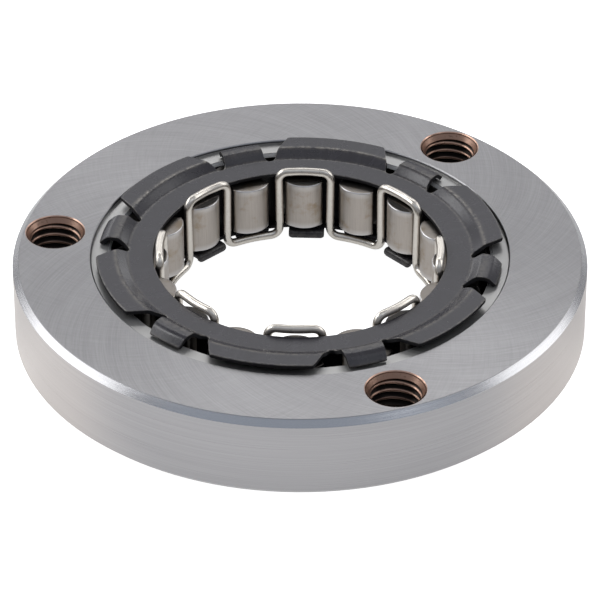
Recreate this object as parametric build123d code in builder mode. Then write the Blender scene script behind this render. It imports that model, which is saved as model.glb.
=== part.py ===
"""Sprag clutch: a bolted outer ring, a pressed cage, sixteen sprags and one meander spring.

The origin is the middle of the ring's lower face. +Z is the axis of rotation, and it points
out of the face that the cage's flange and its tabs show on. All sizes are in millimetres.
"""
import os
from math import cos, degrees, radians, sin, sqrt, tan

from build123d import *

os.makedirs("parts", exist_ok=True)

# Inner race that runs inside the sprags, not part of this object
inner_race_radius = 18.4

# Outer ring: the outer race with its bolt holes
sprag_space = 8.2
track_radius = inner_race_radius + sprag_space
ring_height = 12.2
ring_top_chamfer = 0.9
ring_bottom_chamfer = 1.0
track_lead_in = 0.5
ledge_lead_in_width = 0.25
ledge_lead_in_depth = 0.6
ledge_width = 2.45
counterbore_radius = track_radius + ledge_width
counterbore_depth = 0.6
counterbore_edge_break = 0.2

# Three threaded holes, M8 coarse, modelled at the thread's major radius
bolt_count = 3
bolt_hole_radius = 4.0
bolt_mouth_chamfer = 0.2
first_bolt_angle = 51.5
inner_land = 1.45
outer_land = 1.1
bolt_mouth_radius = bolt_hole_radius + bolt_mouth_chamfer
bolt_circle_radius = counterbore_radius + inner_land + bolt_mouth_radius
ring_outer_radius = bolt_circle_radius + bolt_mouth_radius + outer_land

# Sprags
sprag_count = 16
first_sprag_angle = 87.95
sprag_length = 7.25
sprag_top_depth = 1.05
sprag_preload = 0.05
sprag_track_gap = 0.05
nose_radius = 3.5
nose_half_width = 2.75
nose_offset = 0.15
head_radius = 4.2
head_half_width = 3.3
head_offset = 0.9
waist_half_width = 2.15
waist_from_drum = 0.5
shoulder_fillet = 0.45
sprag_end_chamfer = 0.15

# Cage: one sheet-metal pressing
sheet = 0.6
flange_inner_radius = inner_race_radius + 2.0
drum_inner_radius = inner_race_radius + 3.5
drum_outer_radius = drum_inner_radius + sheet
window_half_width = 2.75
window_offset = 0.5
window_end_clearance = 0.1
cage_depth = 10.0
hook_count = sprag_count
hook_tip_clearance = 0.1
hook_half_width = 2.55
hook_offset = -0.25
hook_corner = 0.4
hook_bend_radius = 0.55
hook_lip = 1.0
lower_rim_inner_radius = inner_race_radius + 2.35

# Tabs round the flange: long raised ones, and short ones that stand on the ring's ledge
tab_pairs = 6
first_long_tab_angle = 79.1
first_short_tab_angle = first_long_tab_angle + 180 / tab_pairs
flange_width = 3.45
notch_bottom_radius = flange_inner_radius + flange_width
notch_radius = 0.9
notch_angle_from_long_tab = 21.1
bend_from_notch = 0.15
inner_bend_radius = 0.5
long_tab_rise = 0.93
long_tab_slope_run = 1.55
long_tab_tip_gap = 0.65
long_tab_tip_half_angle = 14.4
long_tab_crest_bend = 1.2
short_tab_rise = 1.1
short_tab_slope_run = 1.35
short_tab_tip_gap = 0.85
short_tab_tip_half_angle = 5.5
short_tab_slope = 44.0
short_tab_crest_bend = 1.4
foot_clearance = 0.05

# Meander spring: one endless wire
wire_radius = 0.6
loop_count = sprag_count // 2
upper_corner_half_angle = 11.0
lower_corner_half_angle = 10.6
wire_flange_gap = 0.14
wire_race_gap = 0.6
upper_run_height = 0.67
lower_run_depth = 9.85
wire_hook_clearance = 0.05
wire_corner_radius = 1.3
wire_run_radius = 15.0

# Heights and radii that follow from the sizes above
cage_top = ring_height
flange_under = cage_top - sheet
ledge_height = ring_height - counterbore_depth
sprag_top = cage_top - sprag_top_depth
sprag_bottom = sprag_top - sprag_length
window_top = sprag_top + window_end_clearance
window_sill = sprag_bottom - window_end_clearance
cage_bottom = cage_top - cage_depth
hook_top = cage_bottom + hook_lip
hook_under = hook_top - sheet
long_tab_tip_radius = counterbore_radius - long_tab_tip_gap
short_tab_tip_radius = counterbore_radius - short_tab_tip_gap
upper_run_radius = flange_inner_radius - wire_radius - wire_flange_gap
lower_run_radius = inner_race_radius + wire_radius + wire_race_gap
long_hook_tip_radius = inner_race_radius + hook_tip_clearance
short_hook_tip_radius = lower_run_radius + wire_radius + wire_hook_clearance
sprag_step = 360 / sprag_count
tab_step = 360 / tab_pairs
loop_step = 360 / loop_count


def at_angle(radius, angle, height=0.0):
    """The point at a radius and an angle about the ring's axis."""
    return Vector(radius * cos(radians(angle)), radius * sin(radians(angle)), height)


def outer_ring():
    """The outer race, with its shallow counterbore and its threaded holes."""
    with BuildPart() as ring:
        with BuildSketch(Plane.XZ):
            with BuildLine():
                Polyline(
                    (track_radius + track_lead_in, 0),
                    (ring_outer_radius - ring_bottom_chamfer, 0),
                    (ring_outer_radius, ring_bottom_chamfer),
                    (ring_outer_radius, ring_height - ring_top_chamfer),
                    (ring_outer_radius - ring_top_chamfer, ring_height),
                    (counterbore_radius + counterbore_edge_break, ring_height),
                    (counterbore_radius, ring_height - counterbore_edge_break),
                    (counterbore_radius, ledge_height),
                    (track_radius + ledge_lead_in_width, ledge_height),
                    (track_radius, ledge_height - ledge_lead_in_depth),
                    (track_radius, track_lead_in),
                    close=True,
                )
            make_face()
        revolve(axis=Axis.Z)
        with Locations((0, 0, ring_height)):
            with PolarLocations(bolt_circle_radius, bolt_count, first_bolt_angle):
                CounterSinkHole(
                    bolt_hole_radius,
                    bolt_mouth_radius,
                    depth=ring_height,
                    counter_sink_angle=90,
                )
    return ring.part


def sprag_pivot():
    """The centre of a sprag's head, which it tilts about: distances out and across."""
    reach = track_radius - sprag_track_gap - head_radius
    return sqrt(reach**2 - head_offset**2), head_offset


def sprag():
    """One sprag, lying along +X from the axis, its nose inwards and its head on the track."""
    pivot_out, pivot_across = sprag_pivot()
    nose_inner = inner_race_radius - sprag_preload
    nose_out = sqrt((nose_inner + nose_radius) ** 2 - nose_offset**2)
    nose_shoulder = nose_out - sqrt(nose_radius**2 - nose_half_width**2)
    head_shoulder = pivot_out + sqrt(head_radius**2 - head_half_width**2)
    waist_middle = (nose_offset + head_offset) / 2
    waist_in = drum_inner_radius - waist_from_drum
    waist_out = drum_outer_radius + waist_from_drum
    with BuildPart() as body:
        with BuildSketch(Plane.XY.offset(sprag_bottom)) as profile:
            with BuildLine():
                ThreePointArc(
                    (nose_shoulder, nose_offset - nose_half_width),
                    (nose_out - nose_radius, nose_offset),
                    (nose_shoulder, nose_offset + nose_half_width),
                )
                Polyline(
                    (nose_shoulder, nose_offset + nose_half_width),
                    (waist_in, waist_middle + waist_half_width),
                    (waist_out, waist_middle + waist_half_width),
                    (head_shoulder, pivot_across + head_half_width),
                )
                ThreePointArc(
                    (head_shoulder, pivot_across + head_half_width),
                    (pivot_out + head_radius, pivot_across),
                    (head_shoulder, pivot_across - head_half_width),
                )
                Polyline(
                    (head_shoulder, pivot_across - head_half_width),
                    (waist_out, waist_middle - waist_half_width),
                    (waist_in, waist_middle - waist_half_width),
                    (nose_shoulder, nose_offset - nose_half_width),
                )
            make_face()
            fillet(profile.vertices(), shoulder_fillet)
        extrude(amount=sprag_length)
        ends = body.faces().sort_by(Axis.Z)
        chamfer(ends[0].edges() + ends[-1].edges(), sprag_end_chamfer)
    return body.part


def sheet_band(corners, bends):
    """A full ring of bent sheet: its upper side runs through the corners, rounded by the bends."""
    upper = [Vector(*corner) for corner in corners]
    steps = [(after - before).normalized() for before, after in zip(upper, upper[1:])]
    down = [Vector(step.Y, -step.X) for step in steps]
    under = [upper[0] + down[0] * sheet]
    under_bends = []
    for corner, bend, before, after in zip(upper[1:], bends, down, down[1:]):
        under.append(corner + (before + after) * (sheet / (1 + before.dot(after))))
        turns_up = before.cross(after).Z > 0
        under_bends.append(bend + sheet if turns_up else bend - sheet)
    under.append(upper[-1] + down[-1] * sheet)
    with BuildPart() as band:
        with BuildSketch(Plane.XZ):
            with BuildLine():
                FilletPolyline(*upper, radius=bends)
                FilletPolyline(*under, radius=under_bends)
                Line(upper[0], under[0])
                Line(upper[-1], under[-1])
            make_face()
        revolve(axis=Axis.Z)
    return band.part


def long_tab_band():
    """The long tabs' section: a step up outside the notches, then level outwards."""
    bend = notch_bottom_radius + bend_from_notch
    raised = cage_top + long_tab_rise
    corners = [
        (notch_bottom_radius - notch_radius, cage_top),
        (bend, cage_top),
        (bend + long_tab_slope_run, raised),
        (long_tab_tip_radius, raised),
    ]
    return sheet_band(corners, [inner_bend_radius, long_tab_crest_bend])


def short_tab_band():
    """The short tabs' section: a step up, then a curl down to a foot just over the ledge."""
    bend = notch_bottom_radius + bend_from_notch
    raised = cage_top + short_tab_rise
    slope = radians(short_tab_slope)
    foot = ledge_height + foot_clearance + sheet * cos(slope)
    corners = [
        (notch_bottom_radius - notch_radius, cage_top),
        (bend, cage_top),
        (bend + short_tab_slope_run, raised),
        (short_tab_tip_radius - (raised - foot) / tan(slope), raised),
        (short_tab_tip_radius, foot),
    ]
    return sheet_band(corners, [inner_bend_radius, short_tab_crest_bend / 2, short_tab_crest_bend])


def tab_ring(first_angle, share, tip_half_angle, tip_radius, band):
    """One set of tabs: a band cut to plans that fill their share of the notches' ring, then narrow."""
    inside = notch_bottom_radius - notch_radius
    root = notch_bottom_radius + notch_radius
    base_half_angle = share - degrees(notch_radius / root)
    past_tip = tip_radius + sheet
    with BuildPart() as tabs:
        with BuildSketch(Plane.XY.offset(ledge_height)):
            with PolarLocations(0, tab_pairs, first_angle):
                Polygon(
                    at_angle(inside, -share),
                    at_angle(root, -share),
                    at_angle(root, -base_half_angle),
                    at_angle(past_tip, -tip_half_angle),
                    at_angle(past_tip / cos(radians(tip_half_angle)), 0),
                    at_angle(past_tip, tip_half_angle),
                    at_angle(root, base_half_angle),
                    at_angle(root, share),
                    at_angle(inside, share),
                    align=None,
                )
        extrude(amount=counterbore_depth + 2 * short_tab_rise)
        add(band, mode=Mode.INTERSECT)
    return tabs.part


def hooks(first_angle, tip_radius, lip_bottom):
    """Every other hook of the cage: a tongue under a sprag, its tip turned down to the lip's bottom."""
    root = drum_inner_radius + sheet / 2
    with BuildPart() as tongues:
        with BuildSketch(Plane.XZ.offset(hook_half_width - hook_offset)) as section:
            with BuildLine():
                Polyline(
                    (tip_radius, lip_bottom),
                    (tip_radius, hook_top),
                    (root, hook_top),
                    (root, hook_under),
                    (tip_radius + sheet, hook_under),
                    (tip_radius + sheet, lip_bottom),
                    close=True,
                )
            make_face()
            fillet(section.vertices().sort_by(Axis.X)[:2].sort_by(Axis.Z)[-1], hook_bend_radius)
        extrude(amount=-2 * hook_half_width)
        lip_ends = tongues.edges().filter_by(Axis.X).group_by(Axis.Z)[0]
        fillet(lip_ends, hook_corner)
    with BuildPart() as ring:
        with PolarLocations(0, hook_count // 2, first_angle):
            add(tongues.part)
    return ring.part


def cage():
    """The pressed cage: flange, tabs, windowed drum, lower rim and the hooks under the sprags."""
    root = notch_bottom_radius + notch_radius
    long_share = notch_angle_from_long_tab
    short_share = tab_step / 2 - long_share
    long_tabs = tab_ring(
        first_long_tab_angle, long_share, long_tab_tip_half_angle, long_tab_tip_radius, long_tab_band()
    )
    short_tabs = tab_ring(
        first_short_tab_angle, short_share, short_tab_tip_half_angle, short_tab_tip_radius, short_tab_band()
    )
    with BuildPart() as body:
        with BuildSketch(Plane.XZ):
            with BuildLine():
                Polyline(
                    (flange_inner_radius, cage_top),
                    (notch_bottom_radius, cage_top),
                    (notch_bottom_radius, flange_under),
                    (drum_outer_radius, flange_under),
                    (drum_outer_radius, hook_under),
                    (lower_rim_inner_radius, hook_under),
                    (lower_rim_inner_radius, hook_top),
                    (drum_inner_radius, hook_top),
                    (drum_inner_radius, flange_under),
                    (flange_inner_radius, flange_under),
                    close=True,
                )
            make_face()
        revolve(axis=Axis.Z)
        add(long_tabs)
        add(short_tabs)
        with BuildSketch(Plane.XY.offset(ledge_height)):
            for side in (-1, 1):
                with PolarLocations(root, tab_pairs, first_long_tab_angle + side * long_share):
                    Circle(notch_radius)
        extrude(amount=counterbore_depth + 2 * short_tab_rise, mode=Mode.SUBTRACT)
        with BuildSketch(Plane.XY.offset(window_sill)):
            with PolarLocations(0, sprag_count, first_sprag_angle):
                with Locations(((drum_inner_radius + drum_outer_radius) / 2, window_offset)):
                    Rectangle(3 * sheet, 2 * window_half_width)
        extrude(amount=window_top - window_sill, mode=Mode.SUBTRACT)
        add(hooks(first_sprag_angle, long_hook_tip_radius, cage_bottom))
        add(hooks(first_sprag_angle + sprag_step, short_hook_tip_radius, hook_under - hook_corner))
    return body.part


def spring_loop():
    """One upper and one lower loop of the wire, from mid-leg to the matching mid-leg."""
    upper_height = cage_top + upper_run_height
    lower_height = cage_top - lower_run_depth
    rising_corner = at_angle(upper_run_radius, -upper_corner_half_angle, upper_height)
    falling_corner = at_angle(upper_run_radius, upper_corner_half_angle, upper_height)
    low_before = at_angle(lower_run_radius, -lower_corner_half_angle, lower_height)
    low_first = at_angle(lower_run_radius, lower_corner_half_angle, lower_height)
    low_second = at_angle(lower_run_radius, loop_step - lower_corner_half_angle, lower_height)
    next_corner = at_angle(upper_run_radius, loop_step - upper_corner_half_angle, upper_height)
    start = (rising_corner + low_before) * 0.5
    finish = (next_corner + low_second) * 0.5
    corners = [
        start,
        rising_corner,
        at_angle(upper_run_radius, 0, upper_height),
        falling_corner,
        low_first,
        at_angle(lower_run_radius, loop_step / 2, lower_height),
        low_second,
        finish,
    ]
    bends = [wire_corner_radius, wire_run_radius, wire_corner_radius] * 2
    with BuildPart() as wire:
        with BuildLine() as path:
            FilletPolyline(*corners, radius=bends)
        with BuildSketch(Plane(origin=start, z_dir=rising_corner - start)):
            Circle(wire_radius)
        sweep(path=path.line)
    return wire.part


def meander_spring():
    """The endless wire: one loop pair, repeated round the axis."""
    loop = spring_loop()
    with BuildPart() as spring:
        with PolarLocations(0, loop_count, first_sprag_angle):
            add(loop)
    return spring.part


pieces = {"outer_ring": outer_ring(), "cage": cage(), "meander_spring": meander_spring()}
one_sprag = sprag()
for number in range(sprag_count):
    turned = Rotation(0, 0, first_sprag_angle + number * sprag_step) * one_sprag
    pieces[f"sprag_{number + 1:02d}"] = turned

for label, piece in pieces.items():
    piece.label = label
    export_step(piece, f"parts/{label}.step")
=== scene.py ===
"""Sprag clutch: builds the cage, sprags, spring and thread turns as smooth surfaces, and gives
every part of the clutch its finish, with a pale studio floor, soft lights and the camera.

Sizes in the panels are in millimetres and angles in degrees from +X, measured from the middle of
the ring's lower face, with Z along the axis of rotation. Every finished mesh is in metres in that
same frame.
"""
import math

import bpy
import numpy as np
from bpy.props import FloatProperty, FloatVectorProperty, IntProperty, PointerProperty
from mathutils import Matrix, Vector


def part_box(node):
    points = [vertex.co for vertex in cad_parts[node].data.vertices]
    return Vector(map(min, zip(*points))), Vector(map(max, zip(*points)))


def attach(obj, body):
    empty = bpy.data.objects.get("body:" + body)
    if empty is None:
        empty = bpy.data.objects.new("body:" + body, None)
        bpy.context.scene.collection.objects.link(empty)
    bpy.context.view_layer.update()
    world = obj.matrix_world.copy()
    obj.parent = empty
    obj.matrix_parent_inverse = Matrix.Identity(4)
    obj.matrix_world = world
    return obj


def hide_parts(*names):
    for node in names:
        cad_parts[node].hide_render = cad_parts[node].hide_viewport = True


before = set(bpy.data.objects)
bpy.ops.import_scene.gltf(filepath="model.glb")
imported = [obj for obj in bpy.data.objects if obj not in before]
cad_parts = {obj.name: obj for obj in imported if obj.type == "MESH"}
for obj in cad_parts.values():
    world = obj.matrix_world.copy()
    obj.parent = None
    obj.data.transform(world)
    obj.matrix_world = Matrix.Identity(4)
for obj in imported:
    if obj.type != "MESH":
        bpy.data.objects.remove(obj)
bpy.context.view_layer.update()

bl_info = {
    "name": "Sprag clutch dresser",
    "version": (1, 0, 0),
    "blender": (4, 5, 0),
    "location": "3D View > Sidebar > Clutch",
    "description": "Makes the cage, sprags, spring and threads of a sprag clutch, and their finishes",
    "category": "Object",
}

MM = 0.001
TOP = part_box("outer_ring")[1][2] / MM


# Fixed sizes, in millimetres and degrees

SIXTH = 60  # from one long tab's middle to the next
RIM_SCALE = np.array([np.pi / 180 * 26, 1.0])  # makes the outline's angles lengths, at 26 mm
BEND_OUT = 0.15  # from a notch's bottom to the foot of the tabs
LONG_RUN, LONG_RISE = 1.55, 0.93  # slope up to a long tab
SHORT_RUN, SHORT_RISE = 1.35, 1.1  # slope up to a short tab
SHORT_SLOPE = math.radians(44)  # how steeply a short tab's end turns down
SHORT_FOOT = -0.6 + 0.05  # height of that end's lower edge over the flange
WINDOW_ASIDE, WINDOW_HALF = 0.5, 2.75  # a drum window's middle beside the sprag's, and half its width
RIM_IN = 1.15  # how far the drum's lower rim turns in
HOOK_DEPTH = 9.0  # the hooks' upper side under the flange
HOOK_HALF_WIDTH, HOOK_CORNER, HOOK_BEND, HOOK_ASIDE = 2.55, 0.4, 0.55, 0.25
LONG_HOOK, SHORT_HOOK = (18.5, 1.0), (20.25, 0.95)  # radius of the tip and length turned down
SPRAG_TOP, SPRAG_FOOT = 1.05, 8.3  # the sprags' two ends under the flange
SPRAG_MIDDLE = (22.3, 0.5)
HOLE_RADIUS = 4.0
FLOOR_GAP = 0.02

# Fixed colours

# Painted shade deep in the ring's track and on the sprags' heads inside the drum
DEEP_SHADE_DARK = (0.03, 0.028, 0.026)
# Painted shade on the sprags' tops, with a painted shadow of the wire
TOP_SHADE_DARK = (0.02, 0.019, 0.018)
BRINK_SHADE = (0.03, 0.03, 0.034)
LEDGE_GREY = (0.42, 0.417, 0.41)
# Painted light on the counterbore's lead-in
LEAD_IN_PAINTED_LIGHT = (0.95, 0.94, 0.92)
# Painted shade in the threads' roots
THREAD_ROOT_SHADE = (0.012, 0.01, 0.009)
TARNISH = (0.36, 0.29, 0.22)
# Painted highlight on the rounded rim at the sprags' nose ends
RIM_HIGHLIGHT = (0.7, 0.7, 0.71)
WHITE, WARM, COOL = (1.0, 1.0, 1.0), (1.0, 0.935, 0.87), (0.65, 0.8, 1.0)
ROOM = (0.925, 0.935, 1.0)

# Each lamp's name, place in metres, width and height, radiance and colour
LAMPS = (
    ("left_window", (-0.93, 0.16, 0.5), (0.75, 0.5), 2.3, WHITE),
    ("right_window", (0.95, 0.22, 0.5), (0.66, 0.48), 2.1, WHITE),
    ("back_left_window", (-0.62, 1.12, 0.26), (0.65, 0.35), 1.5, WHITE),
    ("back_right_window", (0.62, 1.12, 0.26), (0.65, 0.35), 1.5, WHITE),
    ("left_low_window", (-0.88, 0.69, 0.28), (0.35, 0.25), 0.9, WHITE),
    ("slope_window", (-0.63, 0.5, 0.6), (0.2, 0.35), 7.0, WHITE),
    ("left_slope_window", (-0.69, 0.08, 0.72), (0.2, 0.24), 9.0, WHITE),
    ("right_slope_window", (0.6, 0.33, 0.73), (0.3, 0.3), 2.5, WHITE),
    ("back_window", (0.0, 1.1, 0.8), (1.4, 0.6), 1.0, WHITE),
    ("crest_window", (0.0, 0.8, 0.88), (0.9, 0.08), 5.0, WHITE),
    ("top_window", (0.0, -0.1, 1.2), (0.9, 0.6), 0.4, WHITE),
    ("front_window", (0.05, -0.5, 0.85), (1.9, 0.5), 0.3, COOL),
    ("right_fill_window", (0.507, -0.396, 0.953), (0.35, 0.3), 1.0, WHITE),
)


# Sizes and colours in the panel


def measure(name, description, default, **more):
    """A size, angle or strength in the panel."""
    return FloatProperty(name=name, description=description, default=default, **more)


def tint(name, description, *default):
    """A colour in the panel."""
    return FloatVectorProperty(name=name, description=description, subtype="COLOR", size=3, default=default)


class RingSettings(bpy.types.PropertyGroup):
    """The outer ring's finish and the turns of thread in its three holes."""

    bolt_circle_radius: measure("Bolt circle radius", "From the axis to each hole", 34.7)
    first_bolt_angle: measure("First hole's angle", "In degrees from +X", 51.5)
    thread_root_radius: measure("Thread root", "Radius at the bottom of the groove", 3.97)
    thread_crest_radius: measure("Thread crest", "Radius at the crest of the thread", 3.4)
    thread_pitch: measure("Pitch", "Rise of the thread in one turn", 1.25)
    mouth_depth: measure("Mouth depth", "How deep the countersunk mouth reaches", 1.2)
    steel: tint("Ground steel", "Colour of the ground faces", 0.287, 0.284, 0.291)
    wall: tint("Turned steel", "Colour of the turned wall", 0.352, 0.346, 0.353)
    chamfer: tint("Edge steel", "Colour of the chamfers", 0.47, 0.47, 0.482)
    copper: tint("Copper", "Colour of the holes' copper wash", 0.5, 0.325, 0.25)


class CageSettings(bpy.types.PropertyGroup):
    """The pressed cage: flange, tabs, windowed drum and hooks."""

    sheet: measure("Sheet", "Thickness of the sheet", 0.6)
    edge: measure("Edge", "Radius of the sheet's worn edges", 0.13)
    inner_radius: measure("Inner radius", "Flange's inner edge", 20.4)
    notch_bottom: measure("Notch bottom", "Radius at the bottom of a notch", 23.85)
    notch_radius: measure("Notch radius", "Rounding at the bottom of a notch", 0.9)
    notch_angle: measure("Notch angle", "From a long tab's middle to its notch, in degrees", 21.1)
    first_long_tab: measure("First long tab", "Angle of a long tab's middle, in degrees", 79.1)
    long_tip_radius: measure("Long tab's reach", "Radius at the tip", 28.4)
    long_tip_angle: measure("Long tab's half angle", "At the tip, in degrees", 14.4)
    short_tip_radius: measure("Short tab's reach", "Radius at the tip", 28.2)
    short_tip_angle: measure("Short tab's half angle", "At the tip, in degrees", 5.5)
    drum_inner: measure("Drum's inside", "Inner radius of the windowed drum", 21.9)
    columns: IntProperty(
        name="Columns", description="Points round the flange's outline", default=960, min=240)
    black: tint("Black oxide", "Colour of the sheet", 0.028, 0.0268, 0.033)
    # Colour of rubbed edges and bends, and of the painted highlight along the tabs' crests
    worn: tint("Worn edge", "Colour where the oxide is rubbed", 0.17, 0.16, 0.145)


class SpragSettings(bpy.types.PropertyGroup):
    """The sixteen sprags."""

    count: IntProperty(name="Count", description="Sprags round the clutch", default=16)
    first_angle: measure("First angle", "In degrees from +X", 87.95)
    edge: measure("Edge", "Radius at the ends", 0.16)
    steel: tint("Sprag steel", "Colour of the noses", 0.41, 0.374, 0.34)
    stain: tint("Oil stain", "Colour of the brownish film", 0.27, 0.2, 0.12)


class SpringSettings(bpy.types.PropertyGroup):
    """The endless wire that presses on the sprags."""

    wire_radius: measure("Wire radius", "Half the wire's thickness", 0.6)
    upper_radius: measure("Upper radius", "Radius of the upper runs", 19.66)
    lower_radius: measure("Lower radius", "Radius of the lower runs", 19.6)
    upper_angle: measure("Upper half angle", "Half of an upper run, in degrees", 11.0)
    lower_angle: measure("Lower half angle", "Where the legs meet the lower runs", 10.6)
    upper_rise: measure("Upper rise", "Upper runs over the flange", 0.67)
    lower_drop: measure("Lower drop", "Lower runs under the flange", 9.85)
    corner: measure("Corner", "Radius of the corners", 1.3)
    wire: tint("Wire", "Colour of the drawn wire", 0.66, 0.625, 0.57)


class StudioSettings(bpy.types.PropertyGroup):
    """Camera, floor and lights."""

    distance: measure(
        "Distance", "From the camera to the ring's upper face", 0.57445, subtype="DISTANCE", unit="LENGTH")
    elevation: measure("Elevation", "Of the camera over the floor, in degrees", 34.0748)
    lens: measure("Lens", "Focal length in millimetres", 247.591)
    tilt: measure("Tilt", "How far the camera aims under the upper face's middle, in degrees", 0.66254)
    floor: tint("Floor", "Colour of the floor", 0.6, 0.6, 0.6)
    sky: measure("Room light", "Strength of the light from all round", 0.3)
    key: measure("Key light", "Strength of the large lamps", 1.0)
    glow: measure("Floor's glow", "What the far floor adds to its own reflections", 0.12)
    bore_glow: measure("Bore's glow", "The same for the floor inside the ring", 0.47)
    front_glow: measure("Front glow", "The same for the floor before the ring", 0.68)
    side_glow: measure("Side glow", "The same for the floor at the ring's two sides", 1.1)
    back_glow: measure("Back glow", "The same for the floor behind it", 0.7)


# Shapes, worked out as whole arrays


def around(radius, degrees, height):
    """Points on circles about the axis: (radius cos angle, radius sin angle, height)."""
    turn = np.radians(degrees)
    radius, turn, height = np.broadcast_arrays(radius, turn, height)
    return np.stack([radius * np.cos(turn), radius * np.sin(turn), height], axis=-1)


def swung(points, degrees):
    """Points turned about the axis: (x cos angle - y sin angle, x sin angle + y cos angle, z)."""
    turn = math.radians(degrees)
    x = points[..., 0] * math.cos(turn) - points[..., 1] * math.sin(turn)
    y = points[..., 0] * math.sin(turn) + points[..., 1] * math.cos(turn)
    return np.stack([x, y, points[..., 2]], axis=-1)


def unit(vectors):
    """Each vector divided by its own length."""
    return vectors / np.linalg.norm(vectors, axis=-1, keepdims=True)


def net(rows, columns, close_rows=True, close_columns=True):
    """The quads of a grid whose point (i, j) has the number i * columns + j."""
    i = np.arange(rows if close_rows else rows - 1)[:, None]
    j = np.arange(columns if close_columns else columns - 1)[None, :]
    below, beside = (i + 1) % rows, (j + 1) % columns
    corners = [i * columns + j, i * columns + beside, below * columns + beside, below * columns + j]
    return np.stack(corners, axis=-1).reshape(-1, 4)


def outward(points, faces):
    """The faces turned so that the closed skin's volume, summed over its quads, is positive."""
    a, b, c, d = (points[faces[:, k]] for k in range(4))
    volume = np.einsum("ij,ij->", a, np.cross(b, c)) + np.einsum("ij,ij->", a, np.cross(c, d))
    return faces if volume > 0 else faces[:, ::-1]


def closed_loop(points):
    """A grid of points that closes up both ways, as a list of points and its faces."""
    flat = points.reshape(-1, 3)
    return flat, outward(flat, net(*points.shape[:2]))


def closed_tube(points):
    """Rings of points one after another, with quads across the first and the last of them.

    A cap's quads join point k of its ring to the point as far from the ring's other end.
    """
    rows, columns = points.shape[:2]
    faces = [net(rows, columns, close_rows=False)]
    for row in (0, rows - 1):
        one = row * columns + np.arange(columns // 2)
        other = row * columns + columns - 1 - np.arange(columns // 2)
        quads = np.stack([one[:-1], one[1:], other[1:], other[:-1]], axis=-1)
        faces.append(quads if row else quads[:, ::-1])
    flat = points.reshape(-1, 3)
    return flat, outward(flat, np.concatenate(faces))


def rounded_path(corners, bends, steps, closed=False):
    """A path through corners, each but an open path's ends replaced by an arc that touches its sides.

    An arc's centre lies on the line that halves the corner, at radius / sin(half the angle), and
    its points are centre - radius * (cos t * towards the centre - sin t * across).
    """
    corners = np.asarray(corners, float)
    bends = np.array(bends if closed else [1.0, *bends, 1.0])[:, None]
    back = unit(np.roll(corners, 1, axis=0) - corners)
    ahead = unit(np.roll(corners, -1, axis=0) - corners)
    inward = unit(back + ahead)
    across = unit(ahead - back)
    half = np.arccos(np.clip(np.sum(back * ahead, axis=-1, keepdims=True), -1, 1)) / 2
    centre = corners + inward * bends / np.sin(half)
    turn = (np.linspace(-1, 1, steps)[None, :] * (np.pi / 2 - half))[..., None]
    spokes = np.cos(turn) * inward[:, None] - np.sin(turn) * across[:, None]
    arcs = centre[:, None] - bends[:, None] * spokes
    if closed:
        return arcs.reshape(-1, corners.shape[1])
    inside = arcs[1:-1].reshape(-1, corners.shape[1])
    return np.concatenate([corners[:1], inside, corners[-1:]])


def evenly(path, count, closed=False):
    """The path's points respaced so that the steps along it are equal."""
    if closed:
        path = np.concatenate([path, path[:1]])
    along = np.concatenate([[0], np.cumsum(np.linalg.norm(np.diff(path, axis=0), axis=1))])
    want = np.linspace(0, along[-1], count, endpoint=not closed)
    return np.stack([np.interp(want, along, path[:, k]) for k in range(path.shape[1])], axis=-1)


def smoothed(path, width, mode):
    """The path averaged over a bell of that many points, its weights adding up to 1."""
    weights = np.hanning(width)
    weights /= weights.sum()
    padded = np.pad(path, ((width // 2, width // 2), (0, 0)), mode=mode)
    return np.stack([np.convolve(padded[:, k], weights, "valid") for k in range(2)], axis=-1)


def thickness_round(sheet, edge, steps=5):
    """Quarter circles of an edge's section: how far in from the edge and how deep, face to face."""
    turn = np.linspace(0, np.pi / 2, steps)
    inset = np.concatenate([edge * (1 - np.sin(turn)), edge * (1 - np.sin(turn[::-1]))])
    depth = np.concatenate([edge * (1 - np.cos(turn)), sheet - edge * (1 - np.cos(turn[::-1]))])
    return inset, depth


def bell(value, middle, width):
    """exp(-((value - middle) / width)²)."""
    return np.exp(-((value - middle) / width) ** 2)


def placed(name, data):
    """A new object in the scene, in place of an older one, so that a button can be pressed again."""
    old = bpy.data.objects.get(name)
    if old:
        bpy.data.objects.remove(old)
    made = bpy.data.objects.new(name, data)
    bpy.context.scene.collection.objects.link(made)
    return made


def skin(name, points, faces, smooth=True):
    """A mesh in the scene from points in millimetres and faces."""
    mesh = bpy.data.meshes.new(name)
    mesh.from_pydata((points * MM).tolist(), [], np.asarray(faces).tolist())
    mesh.validate()
    mesh.polygons.foreach_set("use_smooth", np.full(len(mesh.polygons), smooth))
    mesh.update()
    return placed(name, mesh)


def mark(made, name, values):
    """One number for each point of a mesh, such as how worn it is there."""
    layer = made.data.attributes.new(name, "FLOAT", "POINT")
    layer.data.foreach_set("value", np.asarray(values, np.float32).ravel())


# Cage


def tab_section(corners, bends, radius):
    """The upper side of a row of tabs: its height and its slope at the radii."""
    line = evenly(rounded_path(corners, bends, 24), 900)
    slope = np.gradient(line[:, 1], line[:, 0])
    return np.interp(radius, line[:, 0], line[:, 1]), np.interp(radius, line[:, 0], slope)


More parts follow.
